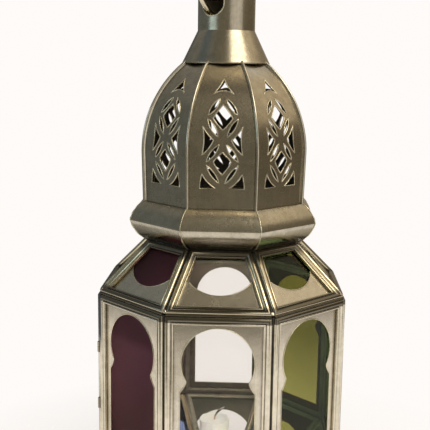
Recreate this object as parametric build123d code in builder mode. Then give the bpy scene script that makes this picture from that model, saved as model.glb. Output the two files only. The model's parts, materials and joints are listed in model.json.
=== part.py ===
# Eight-sided candle lantern: glazed walls, glazed roof and skirt slopes, a pierced dome,
# a round neck with a hanging ring, a door in the left wall and a candle on the base.
# +Z is up, the origin is the middle of the base, and the front wall faces -Y.
import os
from math import atan2, cos, hypot, radians, sin, sqrt, tan

from build123d import *

os.makedirs("parts", exist_ok=True)

# Whole lantern, in millimetres
sides = 8
panel_width = 70.0  # one wall panel, corner to corner
wall_height = 120.3
slope_rise = 35.4  # height of the roof slope, and of the skirt slope under the wall
slope_run = 33.9  # how far a slope draws in, measured level
sheet = 0.8  # thickness of the dome, the mouldings and the neck
solder_gap = 0.1  # half the joint between neighbouring panels
overrun = 20.0  # how far a cut reaches past what it cuts

# Folded channel frames, with a plate and a pane held in the channel
frame_width = 6.0
frame_wall = 0.8
channel_web = 3.0
frame_corner = 2.5
frame_round = 1.1
bead_width = 1.0
bead_height = 0.5
plate_thickness = 0.6
pane_thickness = 2.0
channel_fit = 0.05

# Arch cut in each wall plate
window_margin = 10.5  # from the panel's corner to the window's upright
window_foot = 10.2  # from the wall's foot to the sill
arch_inset = 0.6  # from the upright's line to the arch at its widest
arch_margin = 8.4  # from the wall's top to the arch
arch_neck_inset = 4.1  # from the upright's line to the arch at its narrowest
lobe_height = 7.6  # little lobe between the arch and the upright

# Round cut in each slope plate
crescent_inset = 9.2  # from the panel's corner to the cut at its widest
crescent_margin = 14.9  # from the wide edge to the bottom of the cut

# Bulging moulding, used for the collar and, turned over, for the foot
moulding_height = 28.2
moulding_bulge = 13.0  # from the slope's end out to the nose
moulding_nose_height = 15.2  # above the slope's end
moulding_nose_round = 3.0
upper_bow_share = 0.10  # how far each half of the moulding bows out, of its straight length
lower_bow_share = 0.11
rim_step = 4.3  # from the slope's end out to the rim that carries the dome
moulding_lip = 0.8  # how far the slope's end of the moulding stands out from the slope
rim_flange = 3.2
slope_flange = 6.5

# Dome
dome_inset = 1.5  # from the rim in to the dome's foot
dome_swell = 0.9  # from the foot out to the belly
dome_belly_height = 35.6
dome_crown = 20.2  # flat-to-centre distance at the top
dome_height = 100.8
seam_width = 2.2
seam_height = 0.8

# Pattern pierced in each dome panel
pattern_margin = 7.75  # from the dome's corner at its foot
pattern_head = 15.8  # below the dome's top
pattern_foot = 14.0  # above the dome's foot

# Neck
cone_overhang = 1.8  # how far the cone's foot stands out from the dome
cone_height = 21.4
cone_overlap = 4.5  # how far the cone's foot hangs below the dome's top
neck_radius = 20.0
neck_length = 36.5
ring_hole_radius = 8.6
ring_hole_height = 17.8
ring_hole_turn = -29.0  # degrees from the front
cap_overhang = 1.0
cap_edge = 1.6
cap_rise = 4.4
cap_spigot = 3.0

# Hanging ring
ring_radius = 30.0
ring_wire = 1.75
ring_turn = -43.0  # degrees from the front: it leans on the left edge of its holes
ring_drop = 2.7  # from the middle of the hole down to the ring's pivot line

# Base and candle
base_thickness = 0.8
base_overhang = 0.6
dish_radius = 20.0
dish_floor = 0.6
dish_rim = 3.0
socket_wall = 0.7
socket_height = 14.0
candle_radius = 11.0
candle_length = 77.4
candle_fit = 0.2
candle_shift = -4.5
wick_radius = 1.0
wick_lean = 7.1
wick_rise = 9.2

# Door in the left wall: hinge on its front corner, latch on its back corner
door_gap = 0.3
hinge_height_share = 0.174  # of the wall, above and below its middle
pin_radius = 0.5
pin_clearance = 0.05
knuckle_radius = 1.1
knuckle_length = 3.6
knuckle_gap = 0.2
hinge_offset = 1.25  # from the wall's corner out to the pin
leaf_length = 4.8
leaf_thickness = 0.6
knob_inset = 4.2
knob_stem = 0.8
knob_ball = 1.2
knob_height = 2.9
latch_inset = 3.2
latch_lift = 0.7
latch_thickness = 1.0
latch_width = 3.6
latch_length = 13.0
rivet_radius = 0.8
rivet_shoulder = 1.3
rivet_head = 1.7
rivet_head_height = 0.8

# Holes of the dome's pattern: corners as shares of half its width and of its height, counter-clockwise,
# and the outward bow of each side as a share of that side's length. Those off the middle are made twice.
middle_hole_shares = [
    ([(0, 1), (-0.46, 0.863), (0.46, 0.863)], (-0.05, -0.16, -0.05)),
    ([(0, 0.765), (-0.44, 0.645), (0, 0.54), (0.44, 0.645)], (0.03, 0.03, 0.03, 0.03)),
    ([(0, 0.338), (-0.4, 0.25), (0, 0.13), (0.4, 0.25)], (0.03, 0.04, 0.04, 0.03)),
]
side_hole_shares = [
    ([(0.14, 0.822), (0.65, 0.675)], (0.12, 0.12)),
    ([(0.68, 0.642), (0.2, 0.478)], (0.11, 0.11)),
    ([(0.89, 0.572), (0.4, 0.448), (0.91, 0.312)], (-0.05, 0.06, -0.06)),
    ([(0.15, 0.408), (0.71, 0.25)], (0.11, 0.11)),
    ([(0.71, 0.217), (0.12, 0.048)], (0.09, 0.09)),
    ([(0.9, 0.139), (0.3, 0.004), (1, 0)], (-0.08, 0, 0.03)),
]

# Panels are counted from the front, to the right; the left one is the door
place_names = [
    "front", "front_right", "right", "back_right", "back", "back_left", "left", "front_left",
]
door_place = 6
latch_place = 5
pane_colours = {"clear": (0, 2, 4, 6), "green": (1,), "amber": (3,), "blue": (5,), "red": (7,)}

# Sizes that follow from those above
turn = 360 / sides
half_turn = radians(turn / 2)
apothem = panel_width / 2 / tan(half_turn)
slope_end_apothem = apothem - slope_run
slope_end_width = 2 * slope_end_apothem * tan(half_turn)
slope_length = hypot(slope_run, slope_rise)
slope_angle = atan2(slope_rise, slope_run)
frame_depth = 2 * frame_wall + plate_thickness + pane_thickness + 3 * channel_fit
plate_depth = frame_wall + channel_fit
pane_depth = plate_depth + plate_thickness + channel_fit
window_width = panel_width - 2 * window_margin
arch_radius = window_width / 2 - arch_inset
arch_neck_width = window_width - 2 * arch_neck_inset
crescent_radius = panel_width / 2 - crescent_inset
slope_edge = slope_end_apothem + moulding_lip
moulding_nose = slope_edge + moulding_bulge
moulding_rim = slope_edge + rim_step
dome_foot = moulding_rim - dome_inset
dome_belly = dome_foot + dome_swell
dome_reach = dome_belly - dome_crown
dome_rise = dome_height - dome_belly_height
dome_bend = (dome_rise**2 + dome_reach**2) / (2 * dome_reach)
pattern_width = 2 * dome_foot * tan(half_turn) - 2 * pattern_margin
pattern_height = dome_height - pattern_foot - pattern_head

skirt_foot = base_thickness + moulding_height
wall_foot = skirt_foot + slope_rise
wall_middle = wall_foot + wall_height / 2
wall_top = wall_foot + wall_height
collar_foot = wall_top + slope_rise
dome_level = collar_foot + moulding_height
bend_centre = (dome_belly - dome_bend, dome_level + dome_belly_height)
dome_top = dome_level + dome_height
cone_foot = dome_top - cone_overlap
neck_foot = cone_foot + cone_height
neck_top = neck_foot + neck_length
ring_hole_level = neck_foot + ring_hole_height
ring_pivot_level = ring_hole_level - ring_drop
ring_level = ring_pivot_level + sqrt(ring_radius**2 - neck_radius**2)

wall_plane = Plane(origin=(0, -apothem, wall_middle), x_dir=(1, 0, 0), z_dir=(0, -1, 0))
slope_plane = Plane(
    origin=(0, -apothem, wall_top), x_dir=(1, 0, 0), z_dir=(0, -sin(slope_angle), cos(slope_angle))
)
section_plane = Plane(origin=(0, 0, 0), x_dir=(0, -1, 0), z_dir=(-1, 0, 0))
hole_direction = Vector(sin(radians(ring_hole_turn)), -cos(radians(ring_hole_turn)), 0)
ring_direction = Vector(sin(radians(ring_turn)), -cos(radians(ring_turn)), 0)
ring_normal = Vector(cos(radians(ring_turn)), sin(radians(ring_turn)), 0)


def mitre_planes(gap):
    # Planes through the axis and the front panel's two corners, drawn in by the gap
    planes = []
    for side in (1, -1):
        inward = Vector(-side * cos(half_turn), -sin(half_turn), 0)
        planes.append(Plane(origin=inward * gap, z_dir=inward))
    return planes


def height_on_arc(centre, radius, height):
    # Point at that height on the outer side of a circle
    return (centre[0] + sqrt(radius**2 - (height - centre[1]) ** 2), height)


def bowed_circle(start, end, bow_share):
    # Centre and radius of the arc that bows out between two points on the way up
    along = Vector(*end) - Vector(*start)
    bow = along.length * bow_share
    radius = (along.length**2 / 4 + bow**2) / (2 * bow)
    inward = Vector(-along.Y, along.X).normalized()
    centre = (Vector(*start) + Vector(*end)) / 2 + inward * (radius - bow)
    return (centre.X, centre.Y), radius


def placed(form, places):
    with BuildPart() as copies:
        with Locations(*[Location((0, 0, 0), (0, 0, turn * place)) for place in places]):
            add(form)
    return copies.part


def save(part, name):
    part.label = name
    export_step(part, f"parts/{name}.step")


# Wall panels
def wall_rectangle(inset):
    return (panel_width - 2 * inset, wall_height - 2 * inset)


def wall_frame_form(gap):
    with BuildPart() as frame:
        with BuildSketch(wall_plane):
            RectangleRounded(*wall_rectangle(gap), frame_corner)
        extrude(amount=-frame_depth)
        fillet(frame.faces().sort_by(Axis.Y)[0].edges(), frame_round)
        with BuildSketch(wall_plane):
            Rectangle(*wall_rectangle(frame_width - bead_width))
        extrude(amount=bead_height)
        fillet(frame.faces().sort_by(Axis.Y)[0].edges(), bead_height / 2)
        with BuildSketch(wall_plane.offset(bead_height)):
            Rectangle(*wall_rectangle(frame_width))
        extrude(amount=-bead_height - frame_depth, mode=Mode.SUBTRACT)
        with BuildSketch(wall_plane.offset(-frame_wall)):
            Rectangle(*wall_rectangle(channel_web))
        extrude(amount=2 * frame_wall - frame_depth, mode=Mode.SUBTRACT)
        for mitre in mitre_planes(gap):
            split(bisect_by=mitre, keep=Keep.TOP)
    return frame.part


window_sill = window_foot - wall_height / 2
arch_level = wall_height / 2 - arch_margin - arch_radius
arch_neck = arch_level - sqrt(arch_radius**2 - (arch_neck_width / 2) ** 2)
lobe_bow_share = 0.35

with BuildPart() as wall_plate:
    with BuildSketch(wall_plane.offset(-plate_depth)):
        Rectangle(*wall_rectangle(channel_web + channel_fit))
        with BuildLine():
            Line((-window_width / 2, window_sill), (window_width / 2, window_sill))
            for side in (1, -1):
                upright = Vector(side * window_width / 2, arch_neck - lobe_height)
                neck = Vector(side * arch_neck_width / 2, arch_neck)
                middle = Vector(
                    neck.X + (upright.X - neck.X) * lobe_bow_share, (neck.Y + upright.Y) / 2
                )
                Line((side * window_width / 2, window_sill), upright)
                ThreePointArc(upright, middle, neck)
            ThreePointArc(
                (arch_neck_width / 2, arch_neck),
                (0, arch_level + arch_radius),
                (-arch_neck_width / 2, arch_neck),
            )
        make_face(mode=Mode.SUBTRACT)
    extrude(amount=-plate_thickness)

with BuildPart() as wall_pane:
    with BuildSketch(wall_plane.offset(-pane_depth)):
        Rectangle(*wall_rectangle(channel_web + channel_fit))
    extrude(amount=-pane_thickness)

fixed_places = [place for place in range(sides) if place != door_place]
wall_frame = wall_frame_form(solder_gap)
for place in fixed_places:
    save(placed(wall_frame, [place]), f"wall_frame_{place_names[place]}")
    save(placed(wall_pane.part, [place]), f"wall_pane_{place_names[place]}")
save(placed(wall_plate.part, fixed_places), "wall_plates")
save(placed(wall_frame_form(door_gap), [door_place]), "door_frame")
save(placed(wall_plate.part, [door_place]), "door_plate")
save(placed(wall_pane.part, [door_place]), "door_pane")


# Sloping panels of the roof, and of the skirt, which is the roof turned over
def slope_outline(inset):
    lean = (panel_width - slope_end_width) / 2 / slope_length
    side_inset = inset * hypot(1, lean)
    wide = panel_width / 2 - lean * inset - side_inset
    narrow = slope_end_width / 2 + lean * inset - side_inset
    return [
        (-wide, inset), (wide, inset), (narrow, slope_length - inset), (-narrow, slope_length - inset),
    ]


slope_axis = Axis((0, 0, 0), slope_plane.z_dir)

with BuildPart() as slope_frame:
    with BuildSketch(slope_plane) as slope_face:
        with BuildLine():
            Polyline(*slope_outline(solder_gap), close=True)
        make_face()
        fillet(slope_face.vertices(), frame_corner)
    extrude(amount=-frame_depth)
    fillet(slope_frame.faces().sort_by(slope_axis)[-1].edges(), frame_round)
    with BuildSketch(slope_plane):
        with BuildLine():
            Polyline(*slope_outline(frame_width - bead_width), close=True)
        make_face()
    extrude(amount=bead_height)
    fillet(slope_frame.faces().sort_by(slope_axis)[-1].edges(), bead_height / 2)
    with BuildSketch(slope_plane.offset(bead_height)):
        with BuildLine():
            Polyline(*slope_outline(frame_width), close=True)
        make_face()
    extrude(amount=-bead_height - frame_depth, mode=Mode.SUBTRACT)
    with BuildSketch(slope_plane.offset(-frame_wall)):
        with BuildLine():
            Polyline(*slope_outline(channel_web), close=True)
        make_face()
    extrude(amount=2 * frame_wall - frame_depth, mode=Mode.SUBTRACT)
    for mitre in mitre_planes(solder_gap):
        split(bisect_by=mitre, keep=Keep.TOP)
    split(bisect_by=Plane.XY.offset(wall_top + solder_gap), keep=Keep.TOP)

with BuildPart() as slope_plate:
    with BuildSketch(slope_plane.offset(-plate_depth)):
        with BuildLine():
            Polyline(*slope_outline(channel_web + channel_fit), close=True)
        make_face()
        with Locations((0, crescent_margin + crescent_radius)):
            Circle(crescent_radius, mode=Mode.SUBTRACT)
    extrude(amount=-plate_thickness)

with BuildPart() as slope_pane:
    with BuildSketch(slope_plane.offset(-pane_depth)):
        with BuildLine():
            Polyline(*slope_outline(channel_web + channel_fit), close=True)
        make_face()
    extrude(amount=-pane_thickness)


def turned_over(form):
    with BuildPart() as lower:
        add(form)
        mirror(about=Plane.XY.offset(wall_middle), mode=Mode.REPLACE)
    return lower.part


for slope, form in (("roof", lambda piece: piece), ("skirt", turned_over)):
    save(placed(form(slope_frame.part), range(sides)), f"{slope}_frames")
    save(placed(form(slope_plate.part), range(sides)), f"{slope}_plates")
    for colour, places in pane_colours.items():
        save(placed(form(slope_pane.part), places), f"{slope}_pane_{colour}")

# Collar and foot
nose_level = collar_foot + moulding_nose_height
outer_nose = (moulding_nose, nose_level)
upper_centre, upper_bend = bowed_circle(outer_nose, (moulding_rim, dome_level), upper_bow_share)
lower_centre, lower_bend = bowed_circle((slope_edge, collar_foot), outer_nose, lower_bow_share)

with BuildPart() as moulding:
    with BuildSketch(section_plane) as moulding_section:
        with BuildLine():
            under = collar_foot + sheet
            over = dome_level - sheet
            rim_inner = moulding_rim - rim_flange
            slope_inner = slope_edge - slope_flange
            inner_nose = height_on_arc(lower_centre, lower_bend - sheet, nose_level)
            inner_top = height_on_arc(upper_centre, upper_bend - sheet, over)
            inner_foot = height_on_arc(lower_centre, lower_bend - sheet, under)
            Line((slope_inner, collar_foot), (slope_edge, collar_foot))
            ThreePointArc(
                (slope_edge, collar_foot),
                height_on_arc(lower_centre, lower_bend, (collar_foot + nose_level) / 2),
                outer_nose,
            )
            ThreePointArc(
                outer_nose,
                height_on_arc(upper_centre, upper_bend, (nose_level + dome_level) / 2),
                (moulding_rim, dome_level),
            )
            Polyline((moulding_rim, dome_level), (rim_inner, dome_level), (rim_inner, over), inner_top)
            ThreePointArc(
                inner_top,
                height_on_arc(upper_centre, upper_bend - sheet, (nose_level + over) / 2),
                inner_nose,
            )
            ThreePointArc(
                inner_nose,
                height_on_arc(lower_centre, lower_bend - sheet, (under + nose_level) / 2),
                inner_foot,
            )
            Polyline(inner_foot, (slope_inner, under), (slope_inner, collar_foot))
        make_face()
        inner_corner, outer_corner = moulding_section.vertices().sort_by(Axis.X)[-2:]
        fillet(inner_corner, moulding_nose_round - sheet)
        fillet(outer_corner, moulding_nose_round)
    extrude(amount=moulding_nose, both=True)
    for mitre in mitre_planes(solder_gap):
        split(bisect_by=mitre, keep=Keep.TOP)

save(placed(moulding.part, range(sides)), "collar")
save(placed(turned_over(moulding.part), range(sides)), "foot")

# Dome
bend_middle = (bend_centre[1] + dome_top) / 2


def dome_section(proud):
    # Section of the sheet, standing proud of the dome's face by that much
    bend = dome_bend + proud
    inner_bend = dome_bend - sheet
    outer_top = height_on_arc(bend_centre, bend, dome_top)
    inner_top = height_on_arc(bend_centre, inner_bend, dome_top)
    with BuildSketch(section_plane) as section:
        with BuildLine():
            Line((dome_foot + proud, dome_level), (dome_belly + proud, bend_centre[1]))
            ThreePointArc(
                (dome_belly + proud, bend_centre[1]),
                height_on_arc(bend_centre, bend, bend_middle),
                outer_top,
            )
            Line(outer_top, inner_top)
            ThreePointArc(
                inner_top,
                height_on_arc(bend_centre, inner_bend, bend_middle),
                (dome_belly - sheet, bend_centre[1]),
            )
            Polyline(
                (dome_belly - sheet, bend_centre[1]),
                (dome_foot - sheet, dome_level),
                (dome_foot + proud, dome_level),
            )
        make_face()
    return section.sketch


pattern_plane = Plane(
    origin=(0, -dome_belly - overrun, dome_level + pattern_foot), x_dir=(1, 0, 0), z_dir=(0, -1, 0)
)

with BuildPart() as dome_panel:
    extrude(dome_section(0), amount=dome_belly, both=True)
    with BuildSketch(pattern_plane):
        holes = [(corners, bows, 1) for corners, bows in middle_hole_shares]
        holes += [(corners, bows, side) for corners, bows in side_hole_shares for side in (1, -1)]
        for corners, bows, side in holes:
            points = [Vector(side * x * pattern_width / 2, y * pattern_height) for x, y in corners]
            with BuildLine():
                for start, end, bow in zip(points, points[1:] + points[:1], bows):
                    along = end - start
                    if bow:
                        outward = Vector(along.Y, -along.X) * side
                        ThreePointArc(start, (start + end) / 2 + outward * bow, end)
                    else:
                        Line(start, end)
            make_face()
    extrude(amount=-dome_belly - overrun, mode=Mode.SUBTRACT)
    for mitre in mitre_planes(seam_width / 2 + solder_gap):
        split(bisect_by=mitre, keep=Keep.TOP)

for place, name in enumerate(place_names):
    save(placed(dome_panel.part, [place]), f"dome_panel_{name}")

corner_plane = mitre_planes(0)[0]

with BuildPart() as dome_seam:
    extrude(dome_section(seam_height), amount=dome_belly, both=True)
    split(bisect_by=corner_plane, keep=Keep.TOP)
    mirror(about=corner_plane)
    split(bisect_by=corner_plane.offset(seam_width / 2), keep=Keep.BOTTOM)
    split(bisect_by=corner_plane.offset(-seam_width / 2), keep=Keep.TOP)
    split(bisect_by=Plane.XY.offset(cone_foot), keep=Keep.BOTTOM)

save(placed(dome_seam.part, range(sides)), "dome_seams")

# Neck
cone_foot_face = height_on_arc(bend_centre, dome_bend, cone_foot)[0] + cone_overhang
cone_foot_radius = cone_foot_face / cos(half_turn)

with BuildPart() as neck_cone:
    with BuildSketch(Plane.XZ):
        with BuildLine():
            Polyline(
                (cone_foot_radius, cone_foot),
                (neck_radius, neck_foot),
                (neck_radius - sheet, neck_foot),
                (cone_foot_radius - sheet, cone_foot),
                close=True,
            )
        make_face()
    revolve(axis=Axis.Z)

save(neck_cone.part, "neck_cone")

with BuildPart() as neck_tube:
    with BuildSketch(Plane.XY.offset(neck_foot)):
        Circle(neck_radius)
        Circle(neck_radius - sheet, mode=Mode.SUBTRACT)
    extrude(amount=neck_length)
    with BuildSketch(Plane(origin=(0, 0, ring_hole_level), z_dir=hole_direction)):
        Circle(ring_hole_radius)
    extrude(amount=neck_radius + overrun, both=True, mode=Mode.SUBTRACT)

save(neck_tube.part, "neck_tube")

with BuildPart() as neck_cap:
    cap_radius = neck_radius + cap_overhang
    spigot_radius = neck_radius - sheet - channel_fit
    cap_crown = neck_top + cap_edge + cap_rise
    cap_bend = (cap_radius**2 + cap_rise**2) / (2 * cap_rise)
    crown_centre = cap_crown - cap_bend
    lining_bend = cap_bend - sheet
    lining_radius = spigot_radius - sheet
    lining_edge = (lining_radius, crown_centre + sqrt(lining_bend**2 - lining_radius**2))
    lining_middle = (lining_radius / 2, crown_centre + sqrt(lining_bend**2 - (lining_radius / 2) ** 2))
    cap_middle = (cap_radius / 2, crown_centre + sqrt(cap_bend**2 - (cap_radius / 2) ** 2))
    with BuildSketch(Plane.XZ):
        with BuildLine():
            ThreePointArc((0, cap_crown), cap_middle, (cap_radius, neck_top + cap_edge))
            Polyline(
                (cap_radius, neck_top + cap_edge),
                (cap_radius, neck_top),
                (spigot_radius, neck_top),
                (spigot_radius, neck_top - cap_spigot),
                (lining_radius, neck_top - cap_spigot),
                lining_edge,
            )
            ThreePointArc(lining_edge, lining_middle, (0, cap_crown - sheet))
            Line((0, cap_crown - sheet), (0, cap_crown))
        make_face()
    revolve(axis=Axis.Z)

save(neck_cap.part, "neck_cap")

with BuildPart() as hanging_ring:
    with Locations(Plane(origin=(0, 0, ring_level), x_dir=ring_direction, z_dir=ring_normal)):
        Torus(ring_radius, ring_wire)

save(hanging_ring.part, "hanging_ring")

# Base and candle
with BuildPart() as base_plate:
    with BuildSketch():
        RegularPolygon(moulding_rim + base_overhang, sides, major_radius=False, rotation=turn / 2)
    extrude(amount=base_thickness)

save(base_plate.part, "base_plate")

socket_radius = candle_radius + candle_fit
dish_level = base_thickness + dish_floor
candle_top = dish_level + candle_length
candle_plane = Plane(origin=(candle_shift, 0, 0), x_dir=(1, 0, 0), z_dir=(0, -1, 0))
candle_axis = Axis((candle_shift, 0, 0), (0, 0, 1))

with BuildPart() as candle_socket:
    with BuildSketch(candle_plane):
        with BuildLine():
            Polyline(
                (0, base_thickness),
                (dish_radius, base_thickness),
                (dish_radius, base_thickness + dish_rim),
                (dish_radius - socket_wall, base_thickness + dish_rim),
                (dish_radius - socket_wall, dish_level),
                (socket_radius + socket_wall, dish_level),
                (socket_radius + socket_wall, base_thickness + socket_height),
                (socket_radius, base_thickness + socket_height),
                (socket_radius, dish_level),
                (0, dish_level),
                close=True,
            )
        make_face()
    revolve(axis=candle_axis)

save(candle_socket.part, "candle_socket")

with BuildPart() as candle:
    with BuildSketch(Plane.XY.offset(dish_level)):
        with Locations((candle_shift, 0)):
            Circle(candle_radius)
    extrude(amount=candle_length)
    fillet(candle.edges().group_by(Axis.Z)[-1], candle_fit)

save(candle.part, "candle")

with BuildPart() as wick:
    wick_foot = Vector(candle_shift, 0, candle_top)
    with BuildLine():
        TangentArc(
            wick_foot, wick_foot + Vector(wick_lean, 0, wick_rise), tangent=(wick_lean / wick_rise / 2, 0, 1)
        )
    with BuildSketch(Plane.XY.offset(candle_top)):
        with Locations((candle_shift, 0)):
            Circle(wick_radius)
    sweep()

save(wick.part, "wick")

# Door hinge, drawn on the front panel's right corner and turned to the left wall
hinge_point = Vector(sin(half_turn), -cos(half_turn), 0) * (apothem / cos(half_turn) + hinge_offset)
hinge_levels = [wall_middle + side * hinge_height_share * wall_height for side in (1, -1)]
leaf_edge = panel_width / 2 - leaf_length


def knuckle_form(levels):
    # Rolled knuckles with a leaf on the front panel, standing on each of the levels
    with BuildPart() as knuckles:
        for level in levels:
            with BuildSketch(Plane.XY.offset(level)):
                with Locations((hinge_point.X, hinge_point.Y)):
                    Circle(knuckle_radius)
                with BuildLine():
                    Polyline(
                        (leaf_edge, -apothem),
                        (hinge_point.X, -apothem),
                        (hinge_point.X, -apothem - leaf_thickness),
                        (leaf_edge, -apothem - leaf_thickness),
                        close=True,
                    )
                make_face()
                with Locations((hinge_point.X, hinge_point.Y)):
                    Circle(pin_radius + pin_clearance, mode=Mode.SUBTRACT)
            extrude(amount=knuckle_length)
    return knuckles.part


door_knuckles = knuckle_form([level + knuckle_gap / 2 for level in hinge_levels])
save(placed(door_knuckles, [door_place]), "door_knuckles")

with BuildPart() as fixed_knuckles:
    add(knuckle_form([level - knuckle_gap / 2 - knuckle_length for level in hinge_levels]))
    mirror(about=corner_plane, mode=Mode.REPLACE)

save(placed(fixed_knuckles.part, [door_place]), "hinge_knuckles")

with BuildPart() as hinge_pins:
    for level in hinge_levels:
        with BuildSketch(Plane.XY.offset(level - knuckle_gap / 2 - knuckle_length)):
            with Locations((hinge_point.X, hinge_point.Y)):
                Circle(pin_radius)
        extrude(amount=knuckle_gap + 2 * knuckle_length)

save(placed(hinge_pins.part, [door_place]), "hinge_pins")

# Knob on the door's free edge, drawn on the front panel's left edge
with BuildPart() as door_knob:
    with BuildSketch(wall_plane):
        with Locations((knob_inset - panel_width / 2, 0)):
            Circle(knob_stem)
    extrude(amount=knob_height)
    with Locations((knob_inset - panel_width / 2, -apothem - knob_height, wall_middle)):
        Sphere(knob_ball)

save(placed(door_knob.part, [door_place]), "door_knob")

# Latch bar on the neighbouring wall, hanging down, and the rivet that it turns on
latch_x = panel_width / 2 - latch_inset

with BuildPart() as latch_rivet:
    with BuildSketch(wall_plane):
        with Locations((latch_x, 0)):
            Circle(rivet_shoulder)
    extrude(amount=latch_lift - pin_clearance)
    with BuildSketch(wall_plane):
        with Locations((latch_x, 0)):
            Circle(rivet_radius)
    extrude(amount=latch_lift + latch_thickness + pin_clearance)
    with BuildSketch(wall_plane.offset(latch_lift + latch_thickness + pin_clearance)):
        with Locations((latch_x, 0)):
            Circle(rivet_head)
    extrude(amount=rivet_head_height)
    fillet(latch_rivet.edges().group_by(Axis.Y)[0], rivet_head_height / 2)

save(placed(latch_rivet.part, [latch_place]), "latch_rivet")

with BuildPart() as latch_bar:
    with BuildSketch(wall_plane.offset(latch_lift)):
        with Locations((latch_x, (latch_width / 2 - latch_length) / 2)):
            SlotOverall(latch_length + latch_width / 2, latch_width, rotation=90)
        with Locations((latch_x, 0)):
            Circle(rivet_radius + pin_clearance, mode=Mode.SUBTRACT)
    extrude(amount=latch_thickness)

save(placed(latch_bar.part, [latch_place]), "latch_bar")
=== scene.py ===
import json
from math import atan2, cos, hypot, pi, radians, sin, tan

import bmesh
import bpy
from mathutils import Matrix, Vector, noise


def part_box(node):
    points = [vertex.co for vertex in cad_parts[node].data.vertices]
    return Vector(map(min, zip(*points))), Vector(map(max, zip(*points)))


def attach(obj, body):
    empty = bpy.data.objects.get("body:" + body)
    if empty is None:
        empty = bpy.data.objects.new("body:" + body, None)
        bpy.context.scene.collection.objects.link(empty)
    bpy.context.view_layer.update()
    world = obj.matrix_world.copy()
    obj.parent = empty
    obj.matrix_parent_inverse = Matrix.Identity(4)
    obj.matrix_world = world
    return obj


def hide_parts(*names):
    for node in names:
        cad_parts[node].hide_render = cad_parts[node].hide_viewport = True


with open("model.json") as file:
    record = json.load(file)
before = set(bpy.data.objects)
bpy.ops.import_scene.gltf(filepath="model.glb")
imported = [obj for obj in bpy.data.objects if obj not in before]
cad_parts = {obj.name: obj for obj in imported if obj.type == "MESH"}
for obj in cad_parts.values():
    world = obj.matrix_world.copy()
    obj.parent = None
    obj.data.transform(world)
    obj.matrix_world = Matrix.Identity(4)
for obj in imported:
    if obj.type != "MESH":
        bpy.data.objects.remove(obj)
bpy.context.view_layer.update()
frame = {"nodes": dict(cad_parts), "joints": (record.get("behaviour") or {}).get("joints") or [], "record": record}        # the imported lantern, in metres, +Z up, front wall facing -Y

mm = 0.001
eighth = radians(45)
scene = bpy.context.scene
scene.view_settings.view_transform = "Standard"
print("frame loaded:", len(frame["nodes"]), "nodes")

# Sizes of the frame that the new pieces follow
panel = {"width": 70 * mm, "slopeRise": 35.4 * mm, "slopeRun": 33.9 * mm, "joint": 0.1 * mm}
halfWidth = panel["width"] / 2
wallLow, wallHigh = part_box("wall_frame_front")
wallTop = wallHigh.z + panel["joint"]
wallFoot = wallLow.z - panel["joint"]
wallMiddle = (wallTop + wallFoot) / 2
roofTop = wallTop + panel["slopeRise"]
apothem = halfWidth / tan(eighth / 2)
cornerRadius = apothem / cos(eighth / 2)
slopeLength = hypot(panel["slopeRise"], panel["slopeRun"])
slopeAngle = atan2(panel["slopeRise"], panel["slopeRun"])
slopeEnd = apothem - panel["slopeRun"]
domeLow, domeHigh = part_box("dome_panel_front")
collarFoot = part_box("collar")[0].z
coneLow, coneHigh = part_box("neck_cone")
neckLow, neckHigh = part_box("neck_tube")
neckRadius = (neckHigh.x - neckLow.x) / 2
candleLow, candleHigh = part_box("candle")
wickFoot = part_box("wick")[0].z
places = ["front", "front_right", "right", "back_right", "back", "back_left", "left", "front_left"]
doorPlace = places.index("left")
latchPlace = places.index("back_left")  # this wall carries the latch
latchPivot = next(Vector(joint["pos_m"]) for joint in frame["joints"] if joint["name"] == "latch_turn")

# Hand tools
bench = {
    "weld": 0.004 * mm, "wireCuts": 6, "wireResolution": 2,
    "roundSmooth": 60, "foldSmooth": 40,  # smoothing angles, in degrees
}


def deselectAll():
    if bpy.context.object and bpy.context.object.mode != "OBJECT":
        bpy.ops.object.mode_set(mode="OBJECT")
    bpy.ops.object.select_all(action="DESELECT")


def activate(piece):
    deselectAll()
    piece.select_set(True)
    bpy.context.view_layer.objects.active = piece


def namedActive(name):
    piece = bpy.context.object
    piece.name = piece.data.name = name
    return piece


def linked(name, data):
    piece = bpy.data.objects.new(name, data)
    bpy.context.collection.objects.link(piece)
    piece.data.name = name
    return piece


def copyOfNode(node, name):
    # a copy of a node's mesh, with its loose triangles merged
    piece = linked(name, frame["nodes"][node].data.copy())
    piece.data.materials.clear()
    activate(piece)
    bpy.ops.object.mode_set(mode="EDIT")
    bpy.ops.mesh.select_all(action="SELECT")
    bpy.ops.mesh.remove_doubles(threshold=bench["weld"])
    bpy.ops.object.mode_set(mode="OBJECT")
    return piece


def selectWhere(piece, kind, wanted):
    # opens the piece in edit mode, with only the wanted edges or faces selected
    activate(piece)
    bpy.ops.object.mode_set(mode="EDIT")
    bpy.ops.mesh.select_mode(type=kind)
    bpy.ops.mesh.select_all(action="DESELECT")
    mesh = bmesh.from_edit_mesh(piece.data)
    for part in mesh.edges if kind == "EDGE" else mesh.faces:
        part.select = wanted(part)
    bmesh.update_edit_mesh(piece.data)


def smoothShade(piece, angle):
    activate(piece)
    bpy.ops.object.shade_smooth_by_angle(angle=radians(angle))


def curveToMesh(piece, radius, resolution):
    curve = piece.data
    curve.dimensions = "3D"
    curve.bevel_depth = radius
    curve.bevel_resolution = resolution
    curve.use_fill_caps = True
    activate(piece)
    bpy.ops.object.convert(target="MESH")


def roughWire(piece, wire):
    # a round wire along the curve, thicker and thinner on its way
    for spline in piece.data.splines:
        for point in spline.points:
            point.radius = 1 + wire["rough"] * noise.noise(Vector(point.co[:3]) * wire["grain"])
    curveToMesh(piece, wire["radius"], wire.get("resolution", bench["wireResolution"]))
    smoothShade(piece, bench["roundSmooth"])


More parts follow.
